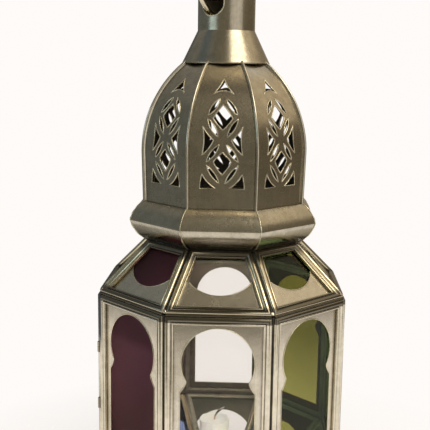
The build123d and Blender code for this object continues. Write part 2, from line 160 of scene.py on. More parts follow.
def wireOnNode(node, name, wanted, wire):
    # a wire along the wanted edges of a node; only edges between two faces can stay
    piece = copyOfNode(node, name)
    selectWhere(piece, "EDGE", lambda edge: len(edge.link_faces) != 2 or not wanted(edge))
    bpy.ops.mesh.delete(type="EDGE")
    bpy.ops.mesh.select_all(action="SELECT")
    bpy.ops.mesh.delete_loose(use_verts=True, use_edges=False, use_faces=False)
    activate(piece)
    bpy.ops.object.convert(target="CURVE")
    roughWire(piece, wire)
    print(name + ":", len(piece.data.polygons), "faces")
    return piece


def wireBetween(name, start, end, wire):
    # a straight run of solder or wire from one point to another
    deselectAll()
    bpy.ops.curve.primitive_nurbs_path_add()
    piece = namedActive(name)
    spline = piece.data.splines[0]
    spline.type = "POLY"
    for index, point in enumerate(spline.points):
        point.co = (*start.lerp(end, index / (len(spline.points) - 1)), 1)
    bpy.ops.object.mode_set(mode="EDIT")
    bpy.ops.curve.select_all(action="SELECT")
    bpy.ops.curve.subdivide(number_cuts=bench["wireCuts"])
    bpy.ops.object.mode_set(mode="OBJECT")
    roughWire(piece, wire)
    return piece


def copyWith(piece, name, change):
    twin = linked(name, piece.data.copy())
    twin.data.transform(change)
    return twin


def turnedCopy(piece, name, steps):
    return copyWith(piece, name, Matrix.Rotation(eighth * steps, 4, "Z"))


def loweredCopy(piece, name):
    # the roof's piece turned over, for the skirt
    twin = copyWith(piece, name, Matrix.Translation((0, 0, 2 * wallMiddle)) @ Matrix.Diagonal((1, 1, -1, 1)))
    twin.data.flip_normals()
    return twin


def joined(pieces, name):
    deselectAll()
    for piece in pieces:
        piece.select_set(True)
    bpy.context.view_layer.objects.active = pieces[0]
    bpy.ops.object.join()
    return namedActive(name)


def allRound(piece, name, skipped=()):
    # the front's piece repeated on the other sides, as one piece
    copies = [turnedCopy(piece, name + str(step), step) for step in range(len(places)) if step not in skipped]
    bpy.data.objects.remove(piece)
    return joined(copies, name)


def finishPiece(piece, material, body="lantern"):
    piece.data.materials.clear()
    piece.data.materials.append(material)
    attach(piece, body)


# Node helpers
def setSockets(tree, node, sockets):
    for key, value in sockets.items():
        socket = node.inputs[key]
        if isinstance(value, (int, float)):
            socket.default_value = value
        elif isinstance(value, tuple):
            socket.default_value = value if len(value) == len(socket.default_value) else (*value, 1)
        else:
            tree.links.new(value, socket)


def addNode(tree, kind, sockets=None, **settings):
    node = tree.nodes.new(kind)
    for key, value in settings.items():
        setattr(node, key, value)
    setSockets(tree, node, sockets or {})
    return node


def objectPlace(tree):
    return addNode(tree, "ShaderNodeTexCoord").outputs["Object"]


def axesOf(tree, vector):
    return addNode(tree, "ShaderNodeSeparateXYZ", {0: vector}).outputs


def noiseNode(tree, vector, scale, detail=4.0, roughness=0.55, distortion=0.0):
    return addNode(tree, "ShaderNodeTexNoise", {
        "Vector": vector, "Scale": scale, "Detail": detail, "Roughness": roughness, "Distortion": distortion,
    }).outputs["Fac"]


def stretched(tree, vector, scale):
    return addNode(tree, "ShaderNodeMapping", {"Vector": vector, "Scale": scale}).outputs["Vector"]


def ranged(tree, value, low, high, toLow=0.0, toHigh=1.0):
    return addNode(tree, "ShaderNodeMapRange", {
        "Value": value, "From Min": low, "From Max": high, "To Min": toLow, "To Max": toHigh,
    }, clamp=True).outputs["Result"]


def calculated(tree, operation, first, second, clamp=False):
    return addNode(tree, "ShaderNodeMath", {0: first, 1: second}, operation=operation, use_clamp=clamp).outputs[0]


def summed(tree, *shares):
    # values added up, each times its share
    total, *others = [calculated(tree, "MULTIPLY", value, share) for value, share in shares]
    for other in others:
        total = calculated(tree, "ADD", total, other)
    return total


def mixedColour(tree, factor, first, second, blend="MIX"):
    return addNode(tree, "ShaderNodeMix", {0: factor, 6: first, 7: second},
                   data_type="RGBA", blend_type=blend).outputs[2]


def mixedShader(tree, factor, first, second):
    return addNode(tree, "ShaderNodeMixShader", {0: factor, 1: first.outputs[0], 2: second.outputs[0]}).outputs[0]


def newGroup(name, inputs):
    # a shared effect, with the usual value of each input
    group = bpy.data.node_groups.new(name, "ShaderNodeTree")
    for label, value in inputs.items():
        isColour = isinstance(value, tuple)
        kind = "NodeSocketColor" if isColour else "NodeSocketFloat"
        socket = group.interface.new_socket(name=label, in_out="INPUT", socket_type=kind)
        socket.default_value = (*value, 1) if isColour else value
    for label, kind in (("Colour", "Color"), ("Roughness", "Float"), ("Height", "Float")):
        group.interface.new_socket(name=label, in_out="OUTPUT", socket_type="NodeSocket" + kind)
    return group, addNode(group, "NodeGroupInput").outputs


def blankMaterial(name):
    material = bpy.data.materials.new(name)
    material.use_nodes = True
    material.node_tree.nodes.clear()
    return material, material.node_tree


def newMaterial(name):
    material, tree = blankMaterial(name)
    shader = addNode(tree, "ShaderNodeBsdfPrincipled")
    addNode(tree, "ShaderNodeOutputMaterial", {"Surface": shader.outputs["BSDF"]})
    return material, tree, shader


def bumpFrom(tree, shader, height, strength, depth):
    bump = addNode(tree, "ShaderNodeBump", {"Strength": strength, "Distance": depth, "Height": height})
    tree.links.new(bump.outputs["Normal"], shader.inputs["Normal"])


# Aged sheet metal: cloudy patina, faint brushing, grime with painted shade in the corners, soot with painted
# shade on the faces that look inwards
patina = {
    "clouds": 26, "mottle": 210, "brushing": (1100, 1100, 26), "pits": 2600,  # how fine each noise is
    "cloudShare": 0.7, "mottleShare": 0.3, "cloudFrom": 0.26, "cloudTo": 0.22, "mottleRange": (0.4, 0.7),
    "openRange": (0.35, 0.9), "brokenRange": (0.3, 0.7, 0.6, 1.0), "inwardRange": (-0.6, -0.12),
    "brushingTone": (0.3, 0.7, 0.93, 1.06), "sootDull": 0.5, "dirtDull": 0.35,
    "mottleHeight": 0.3, "brushingHeight": 0.08, "pitHeight": 0.04, "cloudHeight": 2.4,
}


def makePatinaGroup():
    group, given = newGroup("agedSheet", {
        "Bright": (0.5, 0.46, 0.36), "Patina": (0.2, 0.17, 0.12), "Grime And Shade": (0.03, 0.025, 0.018),
        "Patina Amount": 0.5, "Grime Reach": 4 * mm,
        "Soot And Shade": 1.0, "Soot Light": (0.36, 0.32, 0.245), "Soot Dark": (0.14, 0.122, 0.092),
        "Smooth": 0.3, "Dull": 0.5,
    })
    coordinates = addNode(group, "ShaderNodeTexCoord").outputs
    place = coordinates["Object"]
    clouds = noiseNode(group, place, patina["clouds"], detail=7, roughness=0.62, distortion=0.6)
    mottle = noiseNode(group, place, patina["mottle"], detail=5, roughness=0.6)
    brushed = noiseNode(group, stretched(group, place, patina["brushing"]), 1.0, detail=3)
    pits = noiseNode(group, place, patina["pits"], detail=2)

    spread = calculated(group, "SUBTRACT", 1.0, given["Patina Amount"])
    cloudLow = calculated(group, "SUBTRACT", spread, patina["cloudFrom"])
    cloudHigh = calculated(group, "ADD", spread, patina["cloudTo"])
    patinaMask = summed(group, (ranged(group, clouds, cloudLow, cloudHigh), patina["cloudShare"]),
                        (ranged(group, mottle, *patina["mottleRange"]), patina["mottleShare"]))

    # grime and painted shade: the dark grime colour goes where the occlusion finds near surfaces
    crevice = addNode(group, "ShaderNodeAmbientOcclusion", {"Distance": given["Grime Reach"]}, samples=8)
    openness = ranged(group, crevice.outputs["AO"], *patina["openRange"])
    broken = ranged(group, mottle, *patina["brokenRange"])
    grimeAndShadeMask = calculated(group, "MULTIPLY", calculated(group, "SUBTRACT", 1.0, openness), broken)

    # how far the face looks towards the lantern's axis
    level = addNode(group, "ShaderNodeVectorMath", {0: place, 1: (1, 1, 0)}, operation="MULTIPLY")
    outward = addNode(group, "ShaderNodeVectorMath", {0: level.outputs[0]}, operation="NORMALIZE")
    facing = addNode(group, "ShaderNodeVectorMath", {0: outward.outputs[0], 1: coordinates["Normal"]},
                     operation="DOT_PRODUCT").outputs["Value"]
    # soot and painted shade: the faces that look inwards get the dark soot colours
    inside = calculated(group, "SUBTRACT", 1.0, ranged(group, facing, *patina["inwardRange"]))
    sootAndShadeMask = calculated(group, "MULTIPLY", inside, given["Soot And Shade"])

    metal = mixedColour(group, patinaMask, given["Bright"], given["Patina"])
    metal = mixedColour(group, 1.0, metal, ranged(group, brushed, *patina["brushingTone"]), "MULTIPLY")
    metal = mixedColour(group, grimeAndShadeMask, metal, given["Grime And Shade"])
    sootAndShade = mixedColour(group, patinaMask, given["Soot Light"], given["Soot Dark"])
    sootAndShade = mixedColour(group, grimeAndShadeMask, sootAndShade, given["Grime And Shade"])

    dull = addNode(group, "ShaderNodeMix", {0: patinaMask, 2: given["Smooth"], 3: given["Dull"]},
                   data_type="FLOAT")
    dirt = calculated(group, "MAXIMUM", grimeAndShadeMask, calculated(group, "MULTIPLY", sootAndShadeMask, patina["sootDull"]))
    dirtDull = calculated(group, "MULTIPLY", dirt, patina["dirtDull"])
    addNode(group, "NodeGroupOutput", {
        "Colour": mixedColour(group, sootAndShadeMask, metal, sootAndShade),
        "Roughness": calculated(group, "ADD", dull.outputs[0], dirtDull, clamp=True),
        "Height": summed(group, (mottle, patina["mottleHeight"]), (brushed, patina["brushingHeight"]),
                         (pits, patina["pitHeight"]), (clouds, patina["cloudHeight"])),
    })
    return group


agedSheet = makePatinaGroup()


def makeMetal(name, finish):
    material, tree, shader = newMaterial(name)
    group = addNode(tree, "ShaderNodeGroup", finish["sheet"], node_tree=agedSheet)
    colour = group.outputs["Colour"]
    axes = axesOf(tree, objectPlace(tree))
    for start, full, fading, end in finish.get("shadeBands", []):
        # painted shade in bands of height, where the piece above or below shades this one
        rising = ranged(tree, axes["Z"], start, full)
        falling = ranged(tree, axes["Z"], fading, end, 1.0, 0.0)
        colour = mixedColour(tree, calculated(tree, "MULTIPLY", rising, falling), colour, finish["sootAndShade"])
    if "upperLeftDarkening" in finish:
        # the rails at the corners beside the door are darker near the top
        upper = ranged(tree, axes["Z"], *upperLeftDarkening["height"])
        beside = ranged(tree, axes[finish["upperLeftDarkening"]["axis"]], *finish["upperLeftDarkening"]["side"], 1.0, 0.0)
        colour = mixedColour(tree, calculated(tree, "MULTIPLY", upper, beside), colour, upperLeftDarkening["colour"])
    if "brightBelowNose" in finish:
        # the band under the nose gets less patina, a painted reflection, and the patina above it stays
        edge, fade = finish["brightBelowNose"]["below"], finish["brightBelowNose"]["fade"]
        amount = ranged(tree, axes["Z"], edge - fade, edge + fade, *finish["brightBelowNose"]["patina"])
        tree.links.new(amount, group.inputs["Patina Amount"])
    setSockets(tree, shader, {"Base Color": colour, "Roughness": group.outputs["Roughness"], "Metallic": 1.0})
    bumpFrom(tree, shader, group.outputs["Height"], finish["bump"], finish["depth"])
    return material


# darker near the top of the rails beside the door
upperLeftDarkening = {"colour": (0.09, 0.088, 0.086), "height": (wallTop - 46 * mm, wallTop - 30 * mm)}
pastEaves = (wallTop + 5 * mm, wallTop + 6 * mm)
agedFace = {
    "Bright": (0.50, 0.445, 0.335), "Patina": (0.25, 0.215, 0.15), "Grime And Shade": (0.03, 0.026, 0.02),
    "Patina Amount": 0.5, "Grime Reach": 2.5 * mm, "Smooth": 0.2, "Dull": 0.32,
}
paleFace = {
    "Bright": (0.67, 0.615, 0.50), "Patina": (0.42, 0.375, 0.285), "Grime And Shade": (0.035, 0.03, 0.024),
    "Patina Amount": 0.44, "Grime Reach": 2 * mm, "Smooth": 0.2, "Dull": 0.34,
}
railFinish = {
    "sheet": {
        "Bright": (0.84, 0.765, 0.605), "Patina": (0.50, 0.44, 0.325), "Grime And Shade": (0.025, 0.022, 0.017),
        "Patina Amount": 0.42, "Grime Reach": 1.8 * mm, "Smooth": 0.13, "Dull": 0.26,
    },
    # painted shade on the top of the wall rails, under the eaves
    "shadeBands": [(wallTop - 5.0 * mm, wallTop - 4.5 * mm, *pastEaves)],
    "sootAndShade": (0.17, 0.15, 0.11), "bump": 0.25, "depth": 0.3 * mm,
}
metalFinishes = {
    "agedBrass": {"sheet": agedFace, "bump": 0.22, "depth": 0.5 * mm},
    "domeBrass": {
        "sheet": {
            **agedFace, "Grime Reach": 0.9 * mm,
            # the dome's inside is near black: soot and painted shade
            "Soot Light": (0.11, 0.095, 0.073), "Soot Dark": (0.035, 0.03, 0.024),
        },
        "bump": 0.22, "depth": 0.5 * mm,
    },
    "seamBrass": {
        "sheet": {
            "Bright": (0.66, 0.60, 0.47), "Patina": (0.36, 0.32, 0.24), "Grime And Shade": (0.02, 0.018, 0.014),
            "Patina Amount": 0.4, "Grime Reach": 1.6 * mm, "Smooth": 0.14, "Dull": 0.26,
        },
        "bump": 0.2, "depth": 0.3 * mm,
    },
    "collarBrass": {
        "sheet": {
            "Bright": (0.58, 0.525, 0.41), "Patina": (0.31, 0.27, 0.19), "Grime And Shade": (0.03, 0.026, 0.02),
            "Grime Reach": 6 * mm, "Smooth": 0.18, "Dull": 0.34,
        },
        # less patina below the nose: a painted reflection band
        "brightBelowNose": {"below": collarFoot + 15.2 * mm, "fade": 1.5 * mm, "patina": (0.22, 0.6)},
        # painted shade on the collar's underside
        "shadeBands": [
            (collarFoot - 2 * mm, collarFoot - 1 * mm, collarFoot + 4.5 * mm, collarFoot + 10.5 * mm),
        ],
        "sootAndShade": (0.15, 0.135, 0.10), "bump": 0.3, "depth": 0.5 * mm,
    },
    "paleBrass": {"sheet": paleFace, "bump": 0.2, "depth": 0.4 * mm},
    "wallPlateBrass": {
        "sheet": {
            **paleFace, "Bright": (0.80, 0.725, 0.585), "Patina": (0.53, 0.47, 0.355), "Grime Reach": 2.4 * mm,
        },
        # painted shade on the plates' upper part, under the eaves
        "shadeBands": [(wallTop - 24 * mm, wallTop - 5 * mm, *pastEaves)],
        "sootAndShade": (0.42, 0.37, 0.285), "bump": 0.2, "depth": 0.4 * mm,
    },
    "skirtPlateBrass": {
        # darker soot and painted shade on the skirt's inside
        "sheet": {**paleFace, "Soot Light": (0.19, 0.175, 0.135), "Soot Dark": (0.075, 0.068, 0.052)},
        "bump": 0.2, "depth": 0.4 * mm,
    },
    "wallRailBrass": {**railFinish, "upperLeftDarkening": {"axis": "X", "side": (-83.5 * mm, -82.9 * mm)}},
    "doorRailBrass": {**railFinish, "upperLeftDarkening": {"axis": "Y", "side": (-33.6 * mm, -32.6 * mm)}},
    "roofRailBrass": {
        **railFinish,
        "sheet": {
            **railFinish["sheet"], "Bright": (0.80, 0.70, 0.47), "Patina": (0.42, 0.36, 0.245),
            "Patina Amount": 0.46, "Grime Reach": 2 * mm,
        },
        # painted shade: the collar's shadow on the top rail, and the shade along the eaves
        "shadeBands": [
            (roofTop - 8 * mm, roofTop - 4 * mm, roofTop + 5 * mm, roofTop + 6 * mm),
            (wallTop + 1.4 * mm, wallTop + 2.2 * mm, wallTop + 4.8 * mm, wallTop + 6.4 * mm),
        ],
    },
    "innerRailBrass": {
        "sheet": {
            "Bright": (0.60, 0.54, 0.42), "Patina": (0.30, 0.26, 0.195), "Grime And Shade": (0.02, 0.018, 0.014),
            "Patina Amount": 0.5, "Grime Reach": 1.6 * mm, "Soot And Shade": 0.35, "Smooth": 0.18, "Dull": 0.34,
        },
        "bump": 0.25, "depth": 0.3 * mm,
    },
    "brightEdge": {
        "sheet": {
            "Bright": (0.80, 0.72, 0.52), "Patina": (0.50, 0.44, 0.31), "Grime And Shade": (0.06, 0.05, 0.035),
            "Patina Amount": 0.35, "Grime Reach": 1 * mm, "Smooth": 0.22, "Dull": 0.36, "Soot And Shade": 0.0,
        },
        "bump": 0.2, "depth": 0.2 * mm,
    },
    "ringWire": {
        "sheet": {
            "Bright": (0.78, 0.70, 0.50), "Patina": (0.42, 0.37, 0.26), "Grime And Shade": (0.04, 0.03, 0.02),
            "Patina Amount": 0.38, "Grime Reach": 2 * mm, "Smooth": 0.2, "Dull": 0.36, "Soot And Shade": 0.0,
        },
        "bump": 0.2, "depth": 0.3 * mm,
    },
    # dark solder, which also paints the shade of the corner gaps
    "darkSolderAndShade": {
        "sheet": {
            "Bright": (0.11, 0.106, 0.098), "Patina": (0.032, 0.03, 0.027), "Grime And Shade": (0.012, 0.011, 0.01),
            "Patina Amount": 0.66, "Grime Reach": 2 * mm, "Smooth": 0.38, "Dull": 0.62,
        },
        "bump": 0.45, "depth": 0.5 * mm,
    },
}
metals = {name: makeMetal(name, finish) for name, finish in metalFinishes.items()}

# Hand-rolled window glass: slow waves, small seeds, thin dust, and painted shade over a band of height on some
# panes
paneGlass = {
    "waves": (26, 26, 12), "seeds": 420, "dust": 60,  # how fine each noise is
    "streakRange": (0.3, 0.75), "seedRange": (0.68, 0.8), "dustRange": (0.45, 0.8, 0.0, 0.075),
    "seedHeight": 0.12, "bump": 0.12, "depth": 0.6 * mm,
    "ior": 1.22,  # old, dull panes that mirror little
}


def makeGlassGroup():
    group, given = newGroup("rolledGlass", {
        "Tint": (1, 1, 1), "Streak": (0.8, 0.8, 0.8), "Streak Amount": 0.5,
        "Painted Shade": (1, 1, 1), "Smoke Low": wallMiddle, "Smoke High": wallTop, "Haze": 0.015,
    })
    place = objectPlace(group)
    waves = noiseNode(group, stretched(group, place, paneGlass["waves"]), 1.0, detail=2, distortion=0.5)
    seeds = noiseNode(group, place, paneGlass["seeds"], detail=2)
    dust = noiseNode(group, place, paneGlass["dust"], detail=6, roughness=0.65)
    streaks = ranged(group, waves, *paneGlass["streakRange"])
    mask = calculated(group, "MULTIPLY", streaks, given["Streak Amount"])
    tinted = mixedColour(group, mask, given["Tint"], given["Streak"])
    # painted shade: the tint gets darker over a band of height
    shadeAmount = ranged(group, axesOf(group, place)["Z"], given["Smoke Low"], given["Smoke High"])
    shadedTint = mixedColour(group, 1.0, tinted, given["Painted Shade"], "MULTIPLY")
    raised = ranged(group, seeds, *paneGlass["seedRange"])
    addNode(group, "NodeGroupOutput", {
        "Colour": mixedColour(group, shadeAmount, tinted, shadedTint),
        "Roughness": calculated(group, "ADD", given["Haze"], ranged(group, dust, *paneGlass["dustRange"])),
        "Height": summed(group, (waves, 1.0), (raised, paneGlass["seedHeight"])),
    })
    return group


rolledGlass = makeGlassGroup()
glassTints = {
    "glass_clear": {"Tint": (0.93, 0.912, 0.888), "Streak": (0.895, 0.88, 0.858)},
    "glass_green": {"Tint": (0.29, 0.42, 0.19), "Streak": (0.21, 0.33, 0.13)},
    "glass_amber": {
        "Tint": (0.92, 0.58, 0.30), "Streak": (0.80, 0.48, 0.20),
        # painted shade: darker over the upper part of the pane
        "Painted Shade": (0.42, 0.41, 0.20), "Smoke Low": wallFoot + 12 * mm, "Smoke High": wallFoot + 66 * mm,
    },
    "glass_blue": {"Tint": (0.23, 0.29, 0.50), "Streak": (0.17, 0.22, 0.42)},
    "glass_red": {
        "Tint": (0.25, 0.088, 0.096), "Streak": (0.20, 0.068, 0.076), "Haze": 0.6,
        # painted shade: darker from just under the eaves up
        "Painted Shade": (0.60, 0.49, 0.52), "Smoke Low": wallTop - 31 * mm, "Smoke High": wallTop - 25 * mm,
    },
}


def makeGlass(name, tint):
    material, tree, shader = newMaterial(name)
    group = addNode(tree, "ShaderNodeGroup", tint, node_tree=rolledGlass)
    setSockets(tree, shader, {
        "Base Color": group.outputs["Colour"], "Roughness": group.outputs["Roughness"],
        "Transmission Weight": 1.0, "IOR": paneGlass["ior"],
    })
    bumpFrom(tree, shader, group.outputs["Height"], paneGlass["bump"], paneGlass["depth"])
    return material


glasses = {name: makeGlass(name, tint) for name, tint in glassTints.items()}

# Candle wax, a little yellowed and sooty near the flame
waxFinish = {
    "pale": (0.97, 0.95, 0.91), "yellowed": (0.95, 0.92, 0.86), "soot": (0.35, 0.29, 0.22), "sootReach": 10 * mm,
    "clouds": 90, "cloudRange": (0.35, 0.7), "specks": 700, "speckRange": (0.66, 0.78),
    "sheen": (0.3, 0.7, 0.34, 0.52), "bump": 0.2, "depth": 0.4 * mm,
    "glow": {
        "Subsurface Weight": 0.35, "Subsurface Radius": (4 * mm, 2.4 * mm, 1.2 * mm), "Subsurface Scale": 1.0,
    },
}


def makeWax():
    material, tree, shader = newMaterial("candleWax")
    place = objectPlace(tree)
    nearTop = ranged(tree, axesOf(tree, place)["Z"], candleHigh.z - waxFinish["sootReach"], candleHigh.z)
    clouds = noiseNode(tree, place, waxFinish["clouds"], detail=6)
    yellowing = ranged(tree, clouds, *waxFinish["cloudRange"])
    body = mixedColour(tree, yellowing, waxFinish["pale"], waxFinish["yellowed"])
    specks = ranged(tree, noiseNode(tree, place, waxFinish["specks"], detail=3), *waxFinish["speckRange"])
    setSockets(tree, shader, {
        "Base Color": mixedColour(tree, calculated(tree, "MULTIPLY", specks, nearTop), body, waxFinish["soot"]),
        "Roughness": ranged(tree, clouds, *waxFinish["sheen"]), **waxFinish["glow"],
    })
    bumpFrom(tree, shader, clouds, waxFinish["bump"], waxFinish["depth"])
    return material


# Burnt cotton wick
wickFinish = {
    "cotton": (0.55, 0.44, 0.30), "char": (0.05, 0.04, 0.035), "worn": (0.16, 0.12, 0.09),
    "ash": (0.42, 0.40, 0.35), "wornRange": (0.35, 0.7),
    "charred": (wickFoot + 1 * mm, wickFoot + 5 * mm), "ashen": (wickFoot + 6.5 * mm, wickFoot + 8.5 * mm),
    "fibres": (2600, 2600, 700), "roughness": 0.9, "bump": 0.6, "depth": 0.2 * mm,
}


def makeWickMaterial():
    material, tree, shader = newMaterial("burntWick")
    place = objectPlace(tree)
    height = axesOf(tree, place)["Z"]
    fibres = noiseNode(tree, stretched(tree, place, wickFinish["fibres"]), 1.0, detail=3)
    worn = ranged(tree, fibres, *wickFinish["wornRange"])
    char = mixedColour(tree, worn, wickFinish["char"], wickFinish["worn"])
    colour = mixedColour(tree, ranged(tree, height, *wickFinish["charred"]), wickFinish["cotton"], char)
    colour = mixedColour(tree, ranged(tree, height, *wickFinish["ashen"]), colour, wickFinish["ash"])
    setSockets(tree, shader, {"Base Color": colour, "Roughness": wickFinish["roughness"]})
    bumpFrom(tree, shader, fibres, wickFinish["bump"], wickFinish["depth"])
    return material


candleWax = makeWax()
burntWick = makeWickMaterial()

slotFinishes = {
    "aged_brass": metals["agedBrass"], "pale_brass": metals["paleBrass"], "wire": metals["ringWire"],
    "wax": candleWax, "wick": burntWick, **glasses,
}
nodeFinishes = {
    "collar": metals["collarBrass"], "dome_seams": metals["seamBrass"], "wall_plates": metals["wallPlateBrass"],
    "door_plate": metals["wallPlateBrass"], "skirt_plates": metals["skirtPlateBrass"],
    **{"dome_panel_" + place: metals["domeBrass"] for place in places},
}
for part in frame["record"]["subparts"]:
    for materialSlot in frame["nodes"][part["node"]].material_slots:
        materialSlot.material = nodeFinishes.get(part["node"], slotFinishes[part["material_slot"]])
    if "pane" in part["node"]:
        frame["nodes"][part["node"]].visible_shadow = False  # daylight falls in through the panes
print("finishes laid on the frame's nodes")


# What the pieces of wire ask of an edge
def middleOf(edge):
    return (edge.verts[0].co + edge.verts[1].co) / 2


def awayFromAxis(point):
    return Vector((point.x, point.y, 0)).normalized()


def mostOutward(edge):
    outward = awayFromAxis(middleOf(edge))
    return max(face.normal.dot(outward) for face in edge.link_faces)


def offCorner(point):
    # distance of a point from the nearest corner plane of the eight sides
    around = (atan2(point.x, -point.y) - eighth / 2 + pi) % eighth
    return point.xy.length * sin(min(around, eighth - around))


# Raised burr round every hole that is punched in the dome
domeBurr = {
    "radius": 0.36 * mm, "rough": 0.6, "grain": 500,
    "margin": 2 * mm, "outFace": -0.25, "cutFace": 0.08,
}


def isDomeHoleRim(edge):
    if not domeLow.z + domeBurr["margin"] <= middleOf(edge).z <= domeHigh.z - domeBurr["margin"]:
        return False
    outFace, cutFace = sorted(face.normal.y for face in edge.link_faces)
    return outFace < domeBurr["outFace"] and abs(cutFace) < domeBurr["cutFace"]


def makeDomeBurrs():
    burr = wireOnNode("dome_panel_front", "domeBurrs_front", isDomeHoleRim, domeBurr)
    burrs = [burr] + [turnedCopy(burr, "domeBurrs_" + places[step], step) for step in range(1, len(places))]
    for piece in burrs:
        finishPiece(piece, metals["brightEdge"])


makeDomeBurrs()

# Round welt on each of the dome's corner strips
seamWelt = {
    "radius": 0.95 * mm, "rough": 0.12, "grain": 120, "resolution": 4,
    "offPlane": 0.03 * mm, "lean": 0.3, "outFace": 0.2,
}


def isSeamRidge(edge):
    if any(offCorner(vert.co) > seamWelt["offPlane"] for vert in edge.verts):
        return False
    outward = Vector((*edge.verts[0].co.xy.normalized(), seamWelt["lean"]))
    return all(face.normal.dot(outward) > seamWelt["outFace"] for face in edge.link_faces)


finishPiece(wireOnNode("dome_seams", "domeSeamWelts", isSeamRidge, seamWelt), metals["seamBrass"])

# Filed solder on the collar's and the foot's mitred corners
mitreWelt = {
    "radius": 0.42 * mm, "rough": 0.9, "grain": 420,
    "offPlane": 0.25 * mm, "bend": radians(40), "climb": 0.15, "mitreFace": 0.8, "outFace": 0.2,
}


def isMitreEdge(edge):
    if edge.calc_face_angle(0) < mitreWelt["bend"]:
        return False
    if any(offCorner(vert.co) > mitreWelt["offPlane"] for vert in edge.verts):
        return False
    along = (edge.verts[1].co - edge.verts[0].co).normalized()
    if abs(along.z) < mitreWelt["climb"]:
        return False
    middle = middleOf(edge)
    around = Vector((-middle.y, middle.x, 0)).normalized()
    sides = sorted((face.normal.dot(around) for face in edge.link_faces), key=abs)
    return sides[1] > mitreWelt["mitreFace"] and mostOutward(edge) > mitreWelt["outFace"]


for node, weltName in (("collar", "collarMitres"), ("foot", "footMitres")):
    finishPiece(wireOnNode(node, weltName, isMitreEdge, mitreWelt), metals["brightEdge"])

# Turned lip round the two holes that hold the ring
neckLip = {
    "radius": 0.42 * mm, "rough": 0.35, "grain": 300,
    "bend": radians(25), "offTube": 0.03 * mm, "margin": 1 * mm,
}


def isNeckHoleRim(edge):
    lowest, highest = neckLow.z + neckLip["margin"], neckHigh.z - neckLip["margin"]
    return edge.calc_face_angle(0) >= neckLip["bend"] and all(
        abs(vert.co.xy.length - neckRadius) <= neckLip["offTube"] and lowest <= vert.co.z <= highest
        for vert in edge.verts
    )


finishPiece(wireOnNode("neck_tube", "neckHoleLips", isNeckHoleRim, neckLip), metals["brightEdge"])

# Soldered lap down the back of the cone and the tube
neckLap = {"radius": 0.6 * mm, "rough": 0.25, "grain": 260, "resolution": 3, "above": 0.4 * mm}


def makeNeckLap():
    tubeFoot, tubeTop = Vector((0, neckRadius, neckLow.z)), Vector((0, neckRadius, neckHigh.z))
    coneFoot = Vector((0, coneHigh.y, coneLow.z + neckLap["above"]))
    coneTop = Vector((0, neckRadius, coneHigh.z))
    tubeRun = wireBetween("neckLap", tubeFoot, tubeTop, neckLap)
    coneRun = wireBetween("coneLap", coneFoot, coneTop, neckLap)
    finishPiece(joined([tubeRun, coneRun], "neckLap"), metals["agedBrass"])
    print("neck lap soldered")


makeNeckLap()

# Rolled edge under the cone, pressed on to the dome
coneEdge = {
    "radius": 0.85 * mm, "inside": 0.55 * mm, "below": 0.5 * mm, "flat": 0.85, "rough": 0.12, "grain": 90,
    "round": 160, "across": 14,
}


def makeConeEdge():
    deselectAll()
    bpy.ops.mesh.primitive_torus_add(
        major_segments=coneEdge["round"], minor_segments=coneEdge["across"],
        major_radius=(coneHigh.x - coneLow.x) / 2 - coneEdge["inside"], minor_radius=coneEdge["radius"])
    edge = namedActive("coneEdge")
    for vert in edge.data.vertices:
        vert.co.z *= coneEdge["flat"] * (1 + coneEdge["rough"] * noise.noise(vert.co * coneEdge["grain"]))
    edge.data.transform(Matrix.Translation((0, 0, coneLow.z - coneEdge["below"])))
    smoothShade(edge, bench["roundSmooth"])
    finishPiece(edge, metals["domeBrass"])
    print("cone edge:", len(edge.data.polygons), "faces")


makeConeEdge()

# Rolled rails on the folded frames: a round back, a groove, and a bead next to the plate
rail = {
    "start": 0.55 * mm, "sink": -0.15 * mm, "wall": 0.3 * mm,
    "profile": [  # how far in, and how far up, each next line of the rail is, in mm
        (0.07, 0.65), (0.18, 0.55), (0.30, 0.45), (0.45, 0.35), (0.55, 0.20), (0.60, 0.03), (0.55, -0.15),
        (0.50, -0.31), (0.40, -0.42), (0.25, -0.35), (0.15, -0.05), (0.13, 0.25), (0.22, 0.25), (0.35, 0.12),
        (0.40, -0.04), (0.30, -0.23), (0.15, -0.40), (0.06, -0.75), (0.04, -0.71),
    ],
    "beaten": 0.72, "beatenReach": 15 * mm, "beatenFade": 5 * mm, "beatenCuts": 60, "beside": 8 * mm,
}


def wallPoint(x, y, lift):
    return Vector((x, -apothem - lift, wallMiddle + y))


def slopePoint(x, y, lift):
    return Vector((
        x,
        -apothem + y * cos(slopeAngle) - lift * sin(slopeAngle),
        wallTop + y * sin(slopeAngle) + lift * cos(slopeAngle),
    ))


def wallOutline(inset):
    width = halfWidth - inset
    height = (wallTop - wallFoot) / 2 - inset
    return [(-width, -height), (width, -height), (width, height), (-width, height)]


def slopeOutline(inset):
    endWidth = 2 * slopeEnd * tan(eighth / 2)
    lean = (panel["width"] - endWidth) / 2 / slopeLength
    sideInset = inset * hypot(1, lean)
    wide = halfWidth - lean * inset - sideInset
    narrow = endWidth / 2 + lean * inset - sideInset
    return [(-wide, inset), (wide, inset), (narrow, slopeLength - inset), (-narrow, slopeLength - inset)]


